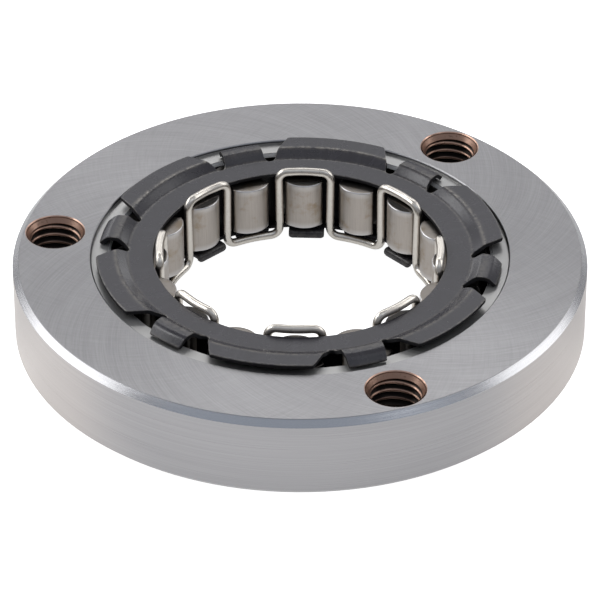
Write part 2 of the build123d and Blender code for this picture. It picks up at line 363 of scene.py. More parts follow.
def flange_outline(cage):
    """Angles and radii of one sixth of the flange's outline, from a long tab's middle to the next.

    Both tabs' tips are arcs about the axis, their sides are straight lines, and a notch's bottom
    is a circle's arc, so the radius is a single function of the angle.
    """
    root = cage.notch_bottom + cage.notch_radius
    spread = math.degrees(cage.notch_radius / root)
    turn = np.linspace(np.pi, 2 * np.pi, 25)
    bottom = np.stack([
        cage.notch_angle + spread * np.cos(turn), root + cage.notch_radius * np.sin(turn)
    ], axis=-1)
    middle = SIXTH / 2
    long_tip = np.linspace((0, cage.long_tip_radius), (cage.long_tip_angle, cage.long_tip_radius), 40)
    short_tip = np.linspace(
        (middle - cage.short_tip_angle, cage.short_tip_radius), (middle, cage.short_tip_radius), 20)
    half = np.concatenate([long_tip, bottom, short_tip])
    mirrored = np.stack([SIXTH - half[::-1, 0], half[::-1, 1]], axis=-1)[1:]
    lengths = evenly(np.concatenate([half, mirrored]) * RIM_SCALE, 4001)
    return evenly(smoothed(lengths, 33, "edge"), cage.columns // 6 + 1)[:-1] / RIM_SCALE


def make_flange(cage):
    """The flange and its tabs: a ring of sheet, points round its outline by points round its section.

    A column runs out from the inner edge to the outline at one angle, over the rounded edge and
    back underneath. The height is the tabs' section at that radius, and the underside lies one
    sheet's thickness under it, at right angles to the slope.
    """
    sixth = flange_outline(cage)
    angle = np.concatenate([sixth[:, 0] + SIXTH * k for k in range(6)])
    reach = np.tile(sixth[:, 1], 6)[None, :]
    inset, depth = (values[1:-1, None] for values in thickness_round(cage.sheet, cage.edge))
    rows = 44
    top_in, top_out = cage.inner_radius + cage.edge, reach - cage.edge
    face = top_in + (top_out - top_in) * np.linspace(0, 1, rows)[:, None]
    inner = cage.inner_radius + inset[::-1] + 0 * reach
    radius = np.concatenate([face, reach - inset, face[::-1], inner])
    deep = np.concatenate([np.zeros((rows, 1)), depth, np.full((rows, 1), cage.sheet), depth[::-1]])

    bend, start = cage.notch_bottom + BEND_OUT, (19.0, 0)
    foot = SHORT_FOOT + cage.sheet * math.cos(SHORT_SLOPE)
    turn_down = cage.short_tip_radius - (SHORT_RISE - foot) / math.tan(SHORT_SLOPE)
    beyond = cage.short_tip_radius + 0.5 / math.tan(SHORT_SLOPE)
    long_tab = tab_section([
        start, (bend, 0), (bend + LONG_RUN, LONG_RISE), (cage.long_tip_radius + 1, LONG_RISE)
    ], [0.5, 1.2], radius)
    short_tab = tab_section([
        start, (bend, 0), (bend + SHORT_RUN, SHORT_RISE), (turn_down, SHORT_RISE), (beyond, foot - 0.5)
    ], [0.5, 0.7, 1.4], radius)
    is_long = np.abs((angle + SIXTH / 2) % SIXTH - SIXTH / 2)[None, :] < cage.notch_angle
    height, slope = (np.where(is_long, *both) for both in zip(long_tab, short_tab))
    lean = np.arctan(np.where(radius > cage.notch_bottom - 0.5, slope, 0))
    points = around(
        radius + deep * np.sin(lean), angle + cage.first_long_tab, TOP + height - deep * np.cos(lean))
    made = skin("cage_flange", *closed_loop(points))

    # Rubbed edges and bends, and along the crests a painted highlight, strongest on the long tabs
    crest = bend + 1.7
    crests = np.where(is_long, 1.9 * bell(radius, crest, 0.25), bell(radius, crest, 0.6))
    edges = bell(radius, reach, 0.16) + bell(radius, cage.inner_radius, 0.1)
    upper = np.clip(1 - (deep - 0.03) / 0.1, 0, 1)
    wear_and_highlight = 0.5 * bell(radius, bend - 0.05, 0.16) + 0.5 * crests + 0.9 * edges
    mark(made, "wear_and_highlight", upper * np.clip(wear_and_highlight, 0, 1))
    # Painted shade: the underside and the end faces, below the upper edge, are marked to be painted near
    # black
    mark(made, "under", np.broadcast_to(1 - upper, radius.shape))
    return made


def turned(section, angles, closed=True):
    """A section of (radius, height) points carried round the axis through the angles."""
    section = np.asarray(section, float)
    points = around(section[:, 0][:, None], angles[None, :], section[:, 1][:, None])
    return points.reshape(-1, 3), net(len(section), len(angles), True, closed)


def block(inner, outer, low, high, start, stop, steps=12):
    """A curved block between two radii, two heights and two angles, with its two ends closed."""
    section = [(inner, low), (outer, low), (outer, high), (inner, high)]
    points, faces = turned(section, np.linspace(start, stop, steps), closed=False)
    ends = np.array([[0, 1, 2, 3], [3, 2, 1, 0]]) * steps + np.array([[0], [steps - 1]])
    return points, outward(points, np.concatenate([faces, ends]))


def joined(parts):
    """Several point and face lists as one."""
    starts = np.cumsum([0] + [len(points) for points, _ in parts[:-1]])
    points = np.concatenate([points for points, _ in parts])
    return points, np.concatenate([faces + start for (_, faces), start in zip(parts, starts)])


def make_drum(cage, sprags):
    """The windowed drum: an upper band, sixteen bars between the windows and the lower rim.

    Bands are sections carried right round the axis. A bar fills the angle between two windows,
    each of them WINDOW_HALF to both sides of its middle.
    """
    inner, outer = cage.drum_inner, cage.drum_inner + cage.sheet
    band_low, band_high, sill = TOP - 0.95, TOP - 0.3, TOP - 8.4
    low, ledge, rim = TOP - 10 + 0.4, TOP - HOOK_DEPTH, inner - RIM_IN
    circle = np.linspace(0, 360, 288, endpoint=False)
    upper = turned([(inner, band_low), (outer, band_low), (outer, band_high), (inner, band_high)], circle)
    lower = turned([
        (rim, low), (outer, low), (outer, sill), (inner, sill), (inner, ledge), (rim, ledge)
    ], circle)
    step = 360 / sprags.count
    middle = math.degrees(math.atan2(WINDOW_ASIDE, (inner + outer) / 2))
    half = math.degrees(WINDOW_HALF / ((inner + outer) / 2))
    bars = [
        block(inner, outer, sill - 0.1, band_low + 0.05, angle + middle + half, angle + step + middle - half)
        for angle in sprags.first_angle + step * np.arange(sprags.count)
    ]
    bands = [(points, outward(points, faces)) for points, faces in (upper, lower)]
    return skin("cage_drum", *joined(bands + bars), smooth=False)


def strip(path, level, half_width, thickness, edge=0.1, steps=4):
    """A flat strip bent along a path: its section is a rectangle with round corners.

    Path points are (out, up) in the strip's own plane, level is the direction at right angles to
    the path there, and the half width changes along it.
    """
    turn = np.linspace(0, np.pi / 2, steps)
    corner = np.stack([np.sin(turn), np.cos(turn)], axis=-1) * edge
    side = half_width[:, None] - edge
    right = np.concatenate([side + corner[None, :, 0], side + corner[None, ::-1, 0]], axis=1)
    depth = np.concatenate([edge - corner[:, 1], thickness - edge + corner[::-1, 1]])
    across = np.concatenate([right, -right[:, ::-1]], axis=1)
    deep = np.concatenate([depth, depth[::-1]])
    place = path[:, None, :] - level[:, None, :] * deep[None, :, None]
    return np.stack([place[..., 0], across, place[..., 1]], axis=-1)


def hook_shape(cage, tip, lip):
    """One hook, lying along +X: out of the drum, level, then turned down to its tip.

    Within a corner's radius of the tip, the half width is less by the radius minus
    sqrt(radius² - (radius - distance)²), which rounds the two corners.
    """
    top = TOP - HOOK_DEPTH
    corners = [(cage.drum_inner + 0.2, top), (tip, top), (tip, top - lip)]
    path = evenly(rounded_path(corners, [HOOK_BEND], 16), 40)
    along = unit(np.gradient(path, axis=0))
    level = np.stack([along[:, 1], -along[:, 0]], axis=-1)
    left = np.linalg.norm(path - path[-1], axis=1)
    near = np.clip(HOOK_CORNER - left, 0, HOOK_CORNER)
    half_width = HOOK_HALF_WIDTH - (HOOK_CORNER - np.sqrt(np.maximum(HOOK_CORNER**2 - near**2, 0)))
    return closed_tube(strip(path, level, half_width, cage.sheet))


def make_hooks(cage, sprags):
    """Sixteen hooks under the sprags: long ones, and short ones where the wire passes in front."""
    parts = []
    for number in range(sprags.count):
        points, faces = hook_shape(cage, *(SHORT_HOOK if number % 2 else LONG_HOOK))
        angle = sprags.first_angle + number * 360 / sprags.count
        parts.append((swung(points - [0, HOOK_ASIDE, 0], angle), faces))
    points, faces = joined(parts)
    made = skin("cage_hooks", points, faces)
    mark(made, "wear_and_highlight", 0.35 * bell(np.hypot(points[:, 0], points[:, 1]), 18.9, 0.4))
    return made


# Sprags


def sprag_outline():
    """One sprag's plan, lying along +X: a nose arc, a narrow waist and a wider head arc.

    The nose is a circle of 3.5 mm that comes to 18.35 mm from the axis, and the head one of 4.2 mm
    that stops 0.05 mm short of the 26.6 mm track, both a little to one side of the middle line.
    """
    nose, nose_y, nose_half = 3.5, 0.15, 2.75
    head, head_y, head_half = 4.2, 0.9, 3.3
    nose_x = math.sqrt((18.35 + nose) ** 2 - nose_y**2)
    head_x = math.sqrt((26.55 - head) ** 2 - head_y**2)
    waist, waist_y = np.array([(21.4, 2.15), (23.0, 2.15)]), 0.525

    def arc(x, y, radius, half_width, way):
        t = np.linspace(way, -way, 33) * math.asin(half_width / radius)
        return np.stack([x + way * radius * np.cos(t), y + radius * np.sin(t)], axis=-1)

    whole = np.concatenate([
        arc(nose_x, nose_y, nose, nose_half, -1), waist + [0, waist_y],
        arc(head_x, head_y, head, head_half, 1), waist[::-1] * [1, -1] + [0, waist_y],
    ])
    return evenly(smoothed(evenly(whole, 720, closed=True), 17, "wrap"), 120, closed=True)


def make_sprag(number, sprags):
    """A sprag: its plan carried up, with rounded ends, and the plan drawn in to the middle on top.

    A ring of points is middle + (plan - middle) * fill, moved in by the edge's radius times
    1 - sine, at the end's height plus or minus the edge's radius times 1 - cosine.
    """
    plan, middle = sprag_outline(), np.array(SPRAG_MIDDLE)
    sideways = unit(np.roll(plan, -1, axis=0) - np.roll(plan, 1, axis=0))
    inwards = np.stack([-sideways[:, 1], sideways[:, 0]], axis=-1)
    inwards *= np.sign(np.sum(inwards * (middle - plan), axis=-1).mean())
    low, high = TOP - SPRAG_FOOT, TOP - SPRAG_TOP
    inset, depth = thickness_round(high - low, sprags.edge)
    half = len(depth) // 2
    side = np.linspace(depth[half - 1], depth[half], 9)[1:-1]
    depth = np.concatenate([depth[:half], side, depth[half:]])
    inset = np.concatenate([inset[:half], 0 * side, inset[half:]])
    fill = np.array([0.002, 0.35, 0.65, 0.88])
    ring = plan[None] + inwards[None] * inset[:, None, None]
    cap = middle + (ring[0] - middle) * fill[:, None, None]
    rings = np.concatenate([cap, ring, cap[::-1]])
    heights = np.concatenate([np.full(len(fill), high), high - depth, np.full(len(fill), low)])
    heights = np.broadcast_to(heights[:, None, None], (*rings.shape[:2], 1))
    points = swung(
        np.concatenate([rings, heights], axis=-1), sprags.first_angle + number * 360 / sprags.count)
    points, faces = closed_tube(points)
    made = skin(f"sprag_{number + 1:02d}_body", points, faces)
    reach = np.hypot(points[:, 0], points[:, 1])
    ends = np.minimum(high - points[:, 2], points[:, 2] - low)
    # Painted highlight: a mark along the rounded rim at both ends of the nose
    mark(made, "wear_and_highlight", bell(ends, 0.08, 0.1) * (reach < 19.5) * (ends > 0.01))
    # Every other sprag lies under an upper run of the wire, and a painted shadow of the wire falls on its
    # top
    mark(made, "under_wire_shadow", np.full(len(points), 1.0 - number % 2))
    return made


# Spring


def make_spring(spring, sprags):
    """The wire: a circle carried along rounded runs and legs, turned so that one side faces the axis.

    Its points are path + radius * (cos t * away from the axis + sin t * across the wire).
    """
    rows, columns, run_bend = 1280, 20, 15.0
    loops = sprags.count // 2
    step = 360 / loops
    upper, lower = spring.upper_angle, spring.lower_angle
    angle = np.array([-upper, 0, upper, lower, step / 2, step - lower])
    radius = np.repeat([spring.upper_radius, spring.lower_radius], 3)
    height = np.repeat([TOP + spring.upper_rise, TOP - spring.lower_drop], 3)
    bends = [spring.corner, run_bend, spring.corner] * 2
    turns = sprags.first_angle + step * np.arange(loops)[:, None]
    corners = around(radius[None], angle[None] + turns, height[None]).reshape(-1, 3)
    path = evenly(rounded_path(corners, bends * loops, 9, closed=True), rows, closed=True)
    along = unit(np.roll(path, -1, axis=0) - np.roll(path, 1, axis=0))
    outwards = path * [1, 1, 0]
    side = unit(outwards - along * np.sum(outwards * along, axis=-1, keepdims=True))
    other = np.cross(along, side)
    turn = np.linspace(0, 2 * np.pi, columns, endpoint=False)[None, :, None]
    circle = np.cos(turn) * side[:, None] + np.sin(turn) * other[:, None]
    return skin("spring_wire", *closed_loop(path[:, None] + spring.wire_radius * circle))


# Threads


def make_thread(number, ring):
    """One hole's thread: a helical surface under a countersunk cone, closed behind along the wall.

    At a height and an angle, the radius is the thread's ridge, a rounded triangle of the height
    plus the angle's share of the pitch, or the cone's radius where that is larger.
    """
    centre = around(ring.bolt_circle_radius, ring.first_bolt_angle + 120 * number, 0.0)
    end, crest, root = 0.06, ring.thread_crest_radius, ring.thread_root_radius
    rows, columns = 220, 96
    turn = np.linspace(0, 2 * np.pi, columns, endpoint=False)[None, :]
    down = np.linspace(end, TOP - end, rows)[:, None]
    phase = (down / ring.thread_pitch + turn / (2 * np.pi)) % 1
    ridge = np.clip(np.abs(phase - 0.5) * 2 * 1.25 - 0.14, 0, 1)
    ridge = ridge * ridge * (3 - 2 * ridge) * 0.35 + ridge * 0.65
    thread = crest + (root - crest) * ridge
    cone = HOLE_RADIUS - np.maximum(down - 0.2, 0) * (HOLE_RADIUS - crest) / (ring.mouth_depth - 0.2)
    start = np.clip((down - ring.mouth_depth + 0.25) / 0.35, 0, 1)
    lower_cone = HOLE_RADIUS - ((TOP - down) / 0.8) * 0.6
    radius = cone * (1 - start) + np.maximum(thread, crest) * start
    radius = np.minimum(np.maximum(radius, lower_cone), HOLE_RADIUS - 0.01)

    def circle(reach, height):
        x, y = centre[0] + reach * np.cos(turn), centre[1] + reach * np.sin(turn)
        return np.stack([x, y, np.broadcast_to(height, x.shape)], axis=-1)

    wall = HOLE_RADIUS - 0.005
    points = np.concatenate([circle(wall, TOP - end), circle(radius, TOP - down), circle(wall, end)])
    made = skin(f"bolt_thread_{number + 1}", *closed_loop(points))
    # Painted shade: the crest mark is 1 on the crests and the mouth's cone, falls to 0 in the roots and
    # fades deeper down the hole
    rubbed = np.clip((root - radius) / 0.5, 0, 1) * np.clip(1.25 - down / 9, 0.2, 1)
    mark(made, "crest", np.concatenate([0 * turn, np.maximum(rubbed, 1 - start), 0 * turn]))
    return made


# Finishes


class Web:
    """Adds nodes to one node tree and joins them."""

    def __init__(self, tree):
        self.tree = tree

    def give(self, socket, value):
        """Links a socket to another one, or sets its own value."""
        if isinstance(value, bpy.types.NodeSocket):
            self.tree.links.new(value, socket)
        elif hasattr(socket.default_value, "__len__") and len(socket.default_value) == 4 and len(value) == 3:
            socket.default_value = (*value, 1)
        else:
            socket.default_value = value

    def fill(self, node, **inputs):
        """Gives several inputs of a node, whose names have spaces where these have underscores."""
        for key, value in inputs.items():
            self.give(node.inputs[key.replace("_", " ")], value)

    def add(self, kind, settings=(), **inputs):
        made = self.tree.nodes.new(kind)
        for key, value in dict(settings).items():
            setattr(made, key, value)
        self.fill(made, **inputs)
        return made

    def use(self, name, **inputs):
        """Places a shared node group."""
        return self.add("ShaderNodeGroup", {"node_tree": bpy.data.node_groups[name]}, **inputs).outputs

    def attribute(self, name):
        return self.add("ShaderNodeAttribute", {"attribute_name": name}).outputs["Fac"]

    def math(self, what, *values):
        made = self.add("ShaderNodeMath", {"operation": what})
        for socket, value in zip(made.inputs, values):
            self.give(socket, value)
        return made.outputs[0]

    def plus(self, first, second):
        return self.math("ADD", first, second)

    def minus(self, first, second):
        return self.math("SUBTRACT", first, second)

    def times(self, first, second):
        return self.math("MULTIPLY", first, second)

    def hypotenuse(self, x, y):
        return self.math("SQRT", self.plus(self.times(x, x), self.times(y, y)))

    def blend(self, share, first, second, kind="FLOAT", sockets=(2, 3), out=0):
        """Two values mixed by a share. Each kind of value has sockets of its own in the node."""
        made = self.add("ShaderNodeMix", {"data_type": kind})
        for socket, value in zip((0, *sockets), (share, first, second)):
            self.give(made.inputs[socket], value)
        return made.outputs[out]

    def mix(self, share, first, second):
        """Two colours mixed by a share."""
        return self.blend(share, first, second, "RGBA", (6, 7), 2)

    def shades(self, share, colour, first, second):
        """One colour made darker or lighter, from the first factor to the second."""
        return self.mix(share, tuple(first * c for c in colour), tuple(second * c for c in colour))

    def window(self, value, start, stop, soft=True):
        """A step from 0 at start to 1 at stop."""
        made = self.add("ShaderNodeMapRange", {"interpolation_type": "SMOOTHSTEP" if soft else "LINEAR"})
        self.fill(made, Value=value, From_Min=start, From_Max=stop)
        return made.outputs[0]

    def depth(self, height, start, stop, soft=True):
        """The same for a depth under the ring's upper face."""
        return self.window(height, TOP - start, TOP - stop, soft)

    def noise(self, vector, scale, detail=3.0, rough=0.55):
        made = self.add("ShaderNodeTexNoise", Vector=vector, Scale=scale, Detail=detail, Roughness=rough)
        return made.outputs["Fac"]

    def cylinder(self, angle, girth, along):
        """A place on a cylinder, so that a pattern closes up round the axis."""
        x, y = (self.times(self.math(what, angle), girth) for what in ("COSINE", "SINE"))
        return self.add("ShaderNodeCombineXYZ", X=x, Y=y, Z=along).outputs[0]

    def bump(self, height, strength, distance):
        return self.add("ShaderNodeBump", Height=height, Strength=strength, Distance=distance).outputs[0]


def group(name, inputs, *outputs):
    """An empty node group: its inputs are numbers with their defaults, or a place where that is None."""
    tree = bpy.data.node_groups.new(name, "ShaderNodeTree")
    for label, default in inputs.items():
        kind = "NodeSocketVector" if default is None else "NodeSocketFloat"
        socket = tree.interface.new_socket(label, in_out="INPUT", socket_type=kind)
        if default is not None:
            socket.default_value = default
    for label in outputs:
        tree.interface.new_socket(label, in_out="OUTPUT", socket_type="NodeSocketFloat")
    web = Web(tree)
    return web, web.add("NodeGroupInput").outputs, web.add("NodeGroupOutput")


def polar_group(name):
    """Radius and height in millimetres and angle in radians, from Object coordinates."""
    web, given, out = group(name, {"Place": None}, "Radius", "Height", "Angle")
    parts = web.add("ShaderNodeSeparateXYZ", Vector=given["Place"]).outputs
    x, y, z = (web.times(part, 1 / MM) for part in parts)
    web.fill(out, Radius=web.hypotenuse(x, y), Height=z, Angle=web.math("ARCTAN2", y, x))


def marks_group(name):
    """Fine grinding marks that run across the ring in a swirl, and broader bands of them.

    The pattern is noise on a cylinder: the angle plus a twist for each millimetre of radius goes
    round it, and the radius goes slowly along it, so the marks are long and thin.
    """
    web, given, out = group(name, {
        "Radius": 30.0, "Angle": 0.0, "Twist": 0.02, "Fineness": 60.0, "Length": 0.2,
    }, "Fine", "Broad")
    angle = web.plus(given["Angle"], web.times(given["Radius"], given["Twist"]))
    slow = web.times(given["Radius"], given["Length"])
    fine = web.cylinder(angle, given["Fineness"], slow)
    broad = web.cylinder(angle, 9.0, web.times(slow, 0.5))
    web.fill(out, Fine=web.noise(fine, 1.0, 4.0, 0.65), Broad=web.noise(broad, 1.0, 2.0, 0.5))


def stain_group(name):
    """Cloudy patches where oil has dried, from 0 to 1."""
    web, given, out = group(name, {"Place": None, "Scale": 300.0, "Amount": 0.5}, "Stain")
    cloud = web.noise(given["Place"], given["Scale"], 4.0, 0.6)
    start = web.minus(0.72, web.times(given["Amount"], 0.3))
    web.fill(out, Stain=web.window(cloud, start, web.plus(start, 0.22)))


def wear_group(name):
    """An edge mask broken up by noise, from 0 to 1: rubbed edges and bends, and the painted highlight along
    the tabs' crests.
    """
    web, given, out = group(name, {"Place": None, "Edge": 0.0, "Scale": 900.0}, "Wear")
    broken = web.noise(given["Place"], given["Scale"], 4.0, 0.7)
    web.fill(out, Wear=web.times(given["Edge"], web.window(broken, 0.3, 0.62)))


def holes_group(name):
    """How far a point is, in millimetres, from the axis of the nearest of the three holes."""
    web, given, out = group(
        name, {"Radius": 0.0, "Angle": 0.0, "Circle": 34.7, "First": 51.5}, "Distance")
    past_first = web.minus(given["Angle"], web.math("RADIANS", given["First"]))
    nearest = web.math("WRAP", past_first, math.pi / 3, -math.pi / 3)
    out_by = web.minus(web.times(given["Radius"], web.math("COSINE", nearest)), given["Circle"])
    aside = web.times(given["Radius"], web.math("SINE", nearest))
    web.fill(out, Distance=web.hypotenuse(out_by, aside))


GROUPS = {
    "polar_place": polar_group,
    "grinding_marks": marks_group,
    "oil_stain": stain_group,
    "edge_wear": wear_group,
    "hole_distance": holes_group,
}


def new_finish(name):
    """An empty material with its Principled shader, Object coordinates and node helper."""
    old = bpy.data.materials.get(name)
    if old:
        bpy.data.materials.remove(old)
    finish = bpy.data.materials.new(name)
    finish.use_nodes = True
    shader = finish.node_tree.nodes["Principled BSDF"]
    web = Web(finish.node_tree)
    place = web.add("ShaderNodeTexCoord").outputs["Object"]
    return finish, web, shader, place


def ground_steel(ring):
    """The ring: ground upper face, turned wall, bright chamfers, grey ledge and coppered holes.

    Each surface is picked out by its radius and its depth under the upper face, in millimetres.
    """
    finish, web, shader, place = new_finish("ground_ring_steel")
    where = web.use("polar_place", Place=place)
    radius, height, angle = where["Radius"], where["Height"], where["Angle"]
    polar = {"Radius": radius, "Angle": angle}
    marks = web.use("grinding_marks", **polar, Twist=-0.038, Fineness=115.0, Length=0.22)
    crossing = web.use("grinding_marks", **polar, Twist=0.03, Fineness=90.0, Length=0.3)
    turned_marks = web.noise(web.cylinder(angle, 1.0, web.times(height, 7.0)), 1.0, 4.0, 0.6)

    # The ground face and the turned wall
    on_face = web.depth(height, 0.03, 0.01, soft=False)
    on_wall = web.window(radius, 39.93, 39.97, soft=False)
    grain = web.blend(on_face, turned_marks, web.blend(0.35, marks["Fine"], crossing["Fine"]))
    # Grain of the grinding marks, and in the broad bands painted highlight streaks that stand in for the
    # grinding's bright fans
    face_grain_and_highlight = web.plus(web.window(grain, 0.3, 0.7), web.times(marks["Broad"], 0.7))
    wall_shade = web.plus(0.35, web.times(web.window(turned_marks, 0.3, 0.7), 0.3))
    shade = web.blend(on_wall, web.times(face_grain_and_highlight, 0.5), wall_shade)
    ground, wall = (web.shades(shade, steel, 0.76, 1.22) for steel in (ring.steel, ring.wall))
    colour = web.mix(on_wall, ground, wall)

    # The upper chamfer
    chamfered = web.times(
        web.window(radius, 39.12, 39.2, soft=False), web.depth(height, 0.93, 0.86, soft=False))
    colour = web.mix(chamfered, colour, ring.chamfer)

    # The counterbore: painted shade on its brink, its grey ledge with painted light on the lead-in, and
    # painted shade on the track below
    recess = web.times(web.depth(height, 0.3, 0.4), web.depth(height, 1.32, 1.12))
    ledge = web.times(web.window(radius, 29.2, 29.12, soft=False), recess)
    lead_in = web.depth(height, 0.62, 0.7)
    brink = web.times(web.window(radius, 29.16, 29.1, soft=False), web.depth(height, 0.4, 0.3))
    # Painted shade on the track below the lead-in
    track_shade = web.times(web.window(radius, 27.2, 27.0, soft=False), web.depth(height, 1.12, 1.32))
    colour = web.mix(web.times(brink, 0.85), colour, BRINK_SHADE)
    colour = web.mix(ledge, web.mix(track_shade, colour, DEEP_SHADE_DARK), LEDGE_GREY)
    # Painted light: the lead-in is painted near white
    colour = web.mix(web.times(ledge, lead_in), colour, LEAD_IN_PAINTED_LIGHT)

    # The copper wash in and just around the holes
    hole = web.use(
        "hole_distance", **polar, Circle=ring.bolt_circle_radius, First=ring.first_bolt_angle)["Distance"]
    coppered = web.minus(1.0, web.window(hole, 4.16, 4.24))
    stain = web.use("oil_stain", Place=place, Scale=900.0, Amount=0.55)["Stain"]
    colour = web.mix(coppered, colour, web.shades(stain, ring.copper, 1.0, 0.45))

    rough = web.blend(chamfered, web.blend(on_wall, 0.33, 0.3), 0.22)
    rough = web.blend(ledge, rough, 0.4)
    tangent = web.add("ShaderNodeTangent", {"direction_type": "RADIAL", "axis": "Z"}).outputs[0]
    web.fill(
        shader,
        Base_Color=colour,
        Roughness=web.plus(rough, web.times(web.minus(grain, 0.5), 0.16)),
        Metallic=web.minus(1.0, web.times(ledge, web.blend(lead_in, 0.2, 1.0))),
        Anisotropic=0.75,
        Anisotropic_Rotation=0.46,
        Tangent=tangent,
        Normal=web.bump(grain, 0.35, 0.00003),
    )
    return finish


def coppered_thread(ring):
    """Thread turns with a brown copper wash on the crests and the mouth's cone, and painted shade, near
    black, in the roots and deeper down the hole.
    """
    finish, web, shader, place = new_finish("coppered_thread")
    stain = web.use("oil_stain", Place=place, Scale=2600.0, Amount=0.6)["Stain"]
    copper = web.shades(stain, ring.copper, 1.0, 0.45)
    web.fill(
        shader,
        Base_Color=web.mix(web.window(web.attribute("crest"), 0.62, 1.12), THREAD_ROOT_SHADE, copper),
        Metallic=1.0,
        Roughness=web.blend(stain, 0.36, 0.55),
        Normal=web.bump(web.noise(place, 2500.0), 0.3, 0.00003),
    )
    return finish


def black_oxide(cage, name, share):
    """Dark oxide on sheet steel: blue-black, faintly mottled, rubbed to brown-grey on edges and bends, with
    a painted highlight along the tabs' crests, painted shade on the underside and end faces, and painted
    shade over the whole where the share is under 1.
    """
    finish, web, shader, place = new_finish(name)
    # A share under 1 darkens the oxide as painted shade
    base = np.array(cage.black) * share
    wear_and_highlight = web.use("edge_wear", Place=place, Edge=web.attribute("wear_and_highlight"), Scale=1400.0)["Wear"]
    mottle = web.noise(place, 420.0, 5.0, 0.65)
    where = web.use("polar_place", Place=place)
    drawn = web.use(
        "grinding_marks", Radius=where["Height"], Angle=where["Angle"], Twist=0.0, Fineness=26.0,
        Length=0.3)["Fine"]
    drawn = web.times(web.window(drawn, 0.5, 0.75), 0.35)
    black = web.mix(drawn, web.shades(mottle, base, 0.72, 1.3), tuple(1.9 * base))
    # Painted shade on the sheet's underside and end faces
    under = web.attribute("under")
    black = web.mix(under, black, tuple(0.2 * base))
    fine = web.noise(place, 3200.0)
    web.fill(
        shader,
        Base_Color=web.mix(wear_and_highlight, black, cage.worn),
        Metallic=web.times(wear_and_highlight, 0.7),
        Roughness=web.blend(under, web.plus(0.2, web.times(mottle, 0.13)), 0.85),
        Specular_IOR_Level=0.4 * share,
        Normal=web.bump(web.plus(fine, web.times(mottle, 0.6)), 0.25, 0.00004),
    )
    return finish


def drawn_wire(spring):
    """Bright spring wire, warm grey, with fine drawing marks and small tarnish spots."""
    finish, web, shader, place = new_finish("drawn_spring_wire")
    stain = web.use("oil_stain", Place=place, Scale=700.0, Amount=0.35)["Stain"]
    lines = web.noise(place, 1900.0, 4.0, 0.6)
    web.fill(
        shader,
        Base_Color=web.mix(web.times(stain, 0.5), web.shades(lines, spring.wire, 0.86, 1.14), TARNISH),
        Metallic=1.0,
        Roughness=web.plus(0.24, web.times(lines, 0.1)),
        Normal=web.bump(lines, 0.12, 0.00002),
    )
    return finish


def sprag_steel(sprags):
    """Satin noses with upright grinding marks and a brownish film, a painted highlight on the rim at the
    nose's ends, painted shade on the tops with a painted shadow of the wire on them, and painted shade on
    the heads inside the drum.
    """
    finish, web, shader, place = new_finish("satin_sprag_steel")
    where = web.use("polar_place", Place=place)
    radius, height = where["Radius"], where["Height"]
    marks = web.noise(web.cylinder(where["Angle"], 260.0, web.times(height, 0.25)), 1.0, 4.0, 0.65)
    stain = web.use("oil_stain", Place=place, Scale=330.0, Amount=0.75)["Stain"]
    steel = web.shades(web.window(marks, 0.3, 0.7), sprags.steel, 0.92, 1.08)
    stained = web.mix(web.times(stain, 0.7), steel, sprags.stain)
    # Painted shade on every sprag's top, deepest near the nose, where a painted shadow of the wire's upper
    # run falls
    on_top = web.depth(height, SPRAG_TOP + 0.04, SPRAG_TOP + 0.01, soft=False)
    band = web.times(web.window(radius, 18.6, 18.8), web.minus(1.0, web.window(radius, 19.5, 19.8)))
    oil = web.plus(0.5, web.times(web.times(band, web.attribute("under_wire_shadow")), 0.47))
    top_shaded = web.mix(web.times(on_top, oil), stained, TOP_SHADE_DARK)
    # Painted shade on the sprags' heads inside the drum
    outer = web.times(web.window(radius, 20.6, 22.0), 0.85)
    web.fill(
        shader,
        Base_Color=web.mix(outer, web.mix(web.attribute("wear_and_highlight"), top_shaded, RIM_HIGHLIGHT), DEEP_SHADE_DARK),
        Metallic=1.0,
        Roughness=web.plus(0.3, web.times(marks, 0.12)),
        Normal=web.bump(marks, 0.3, 0.00003),
    )
    return finish


def pale_floor(studio):
    """A near white floor that is lit up for the camera, so that it shows as paper white.

    What it adds to reflections changes from the bore, by way of the ground close round the ring,
    to the far floor, and close round the ring also from front to sides to back.
    """
    finish, web, shader, place = new_finish("pale_floor")
    seen = web.add("ShaderNodeLightPath").outputs["Is Camera Ray"]
    radius = web.use("polar_place", Place=place)["Radius"]
    past_bore = web.window(radius, 30.0, 37.0)
    near = web.times(past_bore, web.minus(1.0, web.window(radius, 52.0, 70.0)))
    along = web.add("ShaderNodeSeparateXYZ", Vector=place).outputs["Y"]
    side, back = web.window(along, -0.038, -0.023), web.window(along, -0.014, 0.002)
    ring_glow = web.blend(back, web.blend(side, studio.front_glow, studio.side_glow), studio.back_glow)
    glow = web.blend(near, web.blend(past_bore, studio.bore_glow, studio.glow), ring_glow)
    web.fill(
        shader,
        Base_Color=studio.floor,
        Roughness=0.9,
        Emission_Color=web.mix(seen, web.mix(web.times(near, side), WHITE, WARM), WHITE),
        Emission_Strength=web.blend(seen, glow, 1.0),
    )
    return finish


def paint(made, finish):
    """Gives an object one material in its only slot."""
    made.data.materials.clear()
    made.data.materials.append(finish)


# Operators


class CLUTCH_OT_groups(bpy.types.Operator):
    """Builds the shared node groups"""

    bl_idname = "clutch.groups"
    bl_label = "Shared patterns"

    def execute(self, context):
        for name, build in GROUPS.items():
            if name not in bpy.data.node_groups:
                build(name)
        return {"FINISHED"}


